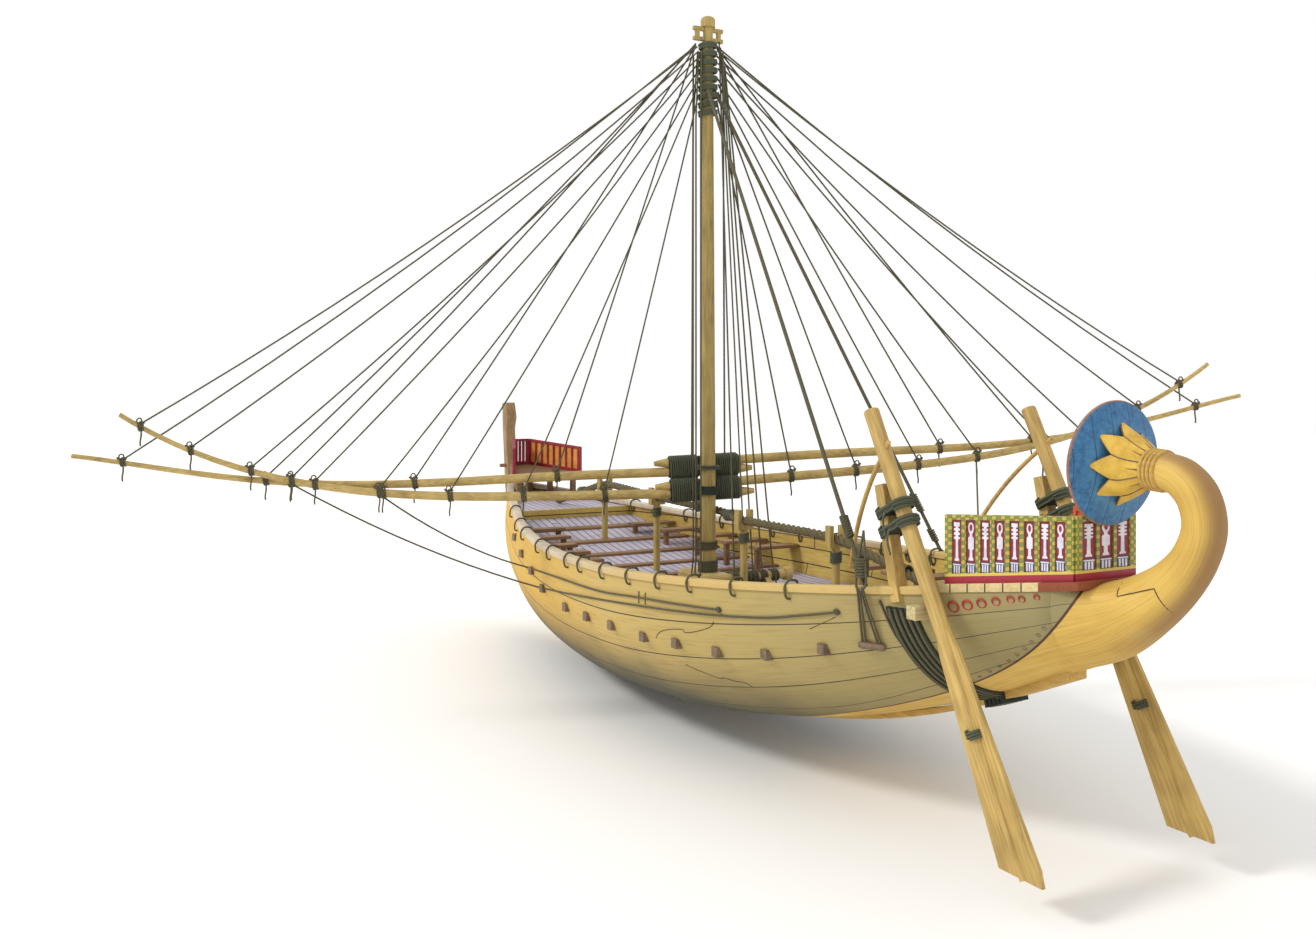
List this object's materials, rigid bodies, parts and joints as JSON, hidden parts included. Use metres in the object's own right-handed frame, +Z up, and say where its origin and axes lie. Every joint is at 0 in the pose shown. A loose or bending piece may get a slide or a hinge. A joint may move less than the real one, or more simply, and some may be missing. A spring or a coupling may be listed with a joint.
{
  "type": "ancient egyptian ship",
  "caption": "Ancient Egyptian seagoing ship with a planked spoon-shaped hull, lotus sternpost, hogging truss, bare yards, and steering oars.",
  "frame": {"origin": "on the waterline and the centreline, under the mast's axis", "axes": "+X forward to the bow, +Y to port, +Z up"},
  "size_m": [20.4892, 20.5116, 12.2432],
  "materials": {
    "hull_planking": "matt, hand-adzed planks",
    "cap_wood": "matt, pale",
    "deck_wood": "matt, weathered pale planks",
    "beam_wood": "matt, red-brown",
    "spar_wood": "smooth, oiled",
    "rope": "laid dark rope with tan strands",
    "crimson_paint": "matt crimson paint",
    "orange_paint": "matt orange-yellow paint",
    "chequer_paint": "painted yellow and green chequer over a crimson base",
    "red_panel_paint": "matt red paint with pale traditional figures",
    "lotus_gold": "painted golden yellow",
    "lotus_blue": "painted blue"
  },
  "bodies": {
    "hull": {"aft_deck": "deck_wood", "backstays": "rope", "beam_ends_port": "beam_wood", "beam_ends_starboard": "beam_wood", "belaying_beam": "beam_wood", "belaying_knees": "beam_wood", "benches_port": "beam_wood", "benches_starboard": "beam_wood", "boom_port": "spar_wood", "boom_seizing": "rope", "boom_starboard": "spar_wood", "bulwark_port": "hull_planking", "bulwark_starboard": "hull_planking", "deck_beams": "beam_wood", "fore_bulkhead": "beam_wood", "forecastle_bearers": "beam_wood", "forecastle_floor": "deck_wood", "forecastle_frame": "crimson_paint", "forecastle_panels": "orange_paint", "foredeck": "deck_wood", "gunwale_cap_port": "cap_wood", "gunwale_cap_starboard": "cap_wood", "hogging_truss": "rope", "hull_core": "hull_planking", "keel_plank": "hull_planking", "lotus_disc": "lotus_blue", "lotus_petals": "lotus_gold", "main_deck": "deck_wood", "mast": "spar_wood", "mast_step": "beam_wood", "mast_truck": "spar_wood", "masthead_frame": "spar_wood", "masthead_rings": "rope", "neck_rings": "hull_planking", "oar_beam_port": "beam_wood", "oar_beam_starboard": "beam_wood", "oar_seizings_port": "rope", "oar_seizings_starboard": "rope", "stanchion_port": "spar_wood", "stanchion_starboard": "spar_wood", "stem_peg": "hull_planking", "stem_post": "hull_planking", "stern_brackets": "beam_wood", "stern_castle_frame": "chequer_paint", "stern_castle_panels": "red_panel_paint", "stern_girdle": "rope", "stern_platform": "deck_wood", "sternpost": "hull_planking", "truss_posts": "spar_wood"},
    "upper_yard": {"yard_port": "spar_wood", "yard_seizing": "rope", "yard_starboard": "spar_wood"},
    "steering_oar_port": {"oar_blade_port": "spar_wood", "oar_loom_port": "spar_wood", "oar_tiller_port": "spar_wood"},
    "steering_oar_starboard": {"oar_blade_starboard": "spar_wood", "oar_loom_starboard": "spar_wood", "oar_tiller_starboard": "spar_wood"}
  },
  "joints": [
    {"name": "yard_hoist", "type": "slide", "parent": "hull", "child": "upper_yard", "axis": [0, 0, 1], "range_m": [0, 6]},
    {"name": "steering_oar_port_turn", "type": "hinge", "parent": "hull", "child": "steering_oar_port", "pos_m": [-6.6622, 1.35, 3.52], "axis": [0.4637, 0, 0.886], "range_deg": [-30, 10]},
    {"name": "steering_oar_starboard_turn", "type": "hinge", "parent": "hull", "child": "steering_oar_starboard", "pos_m": [-6.6622, -1.35, 3.52], "axis": [0.4637, 0, 0.886], "range_deg": [-10, 30]}
  ]
}
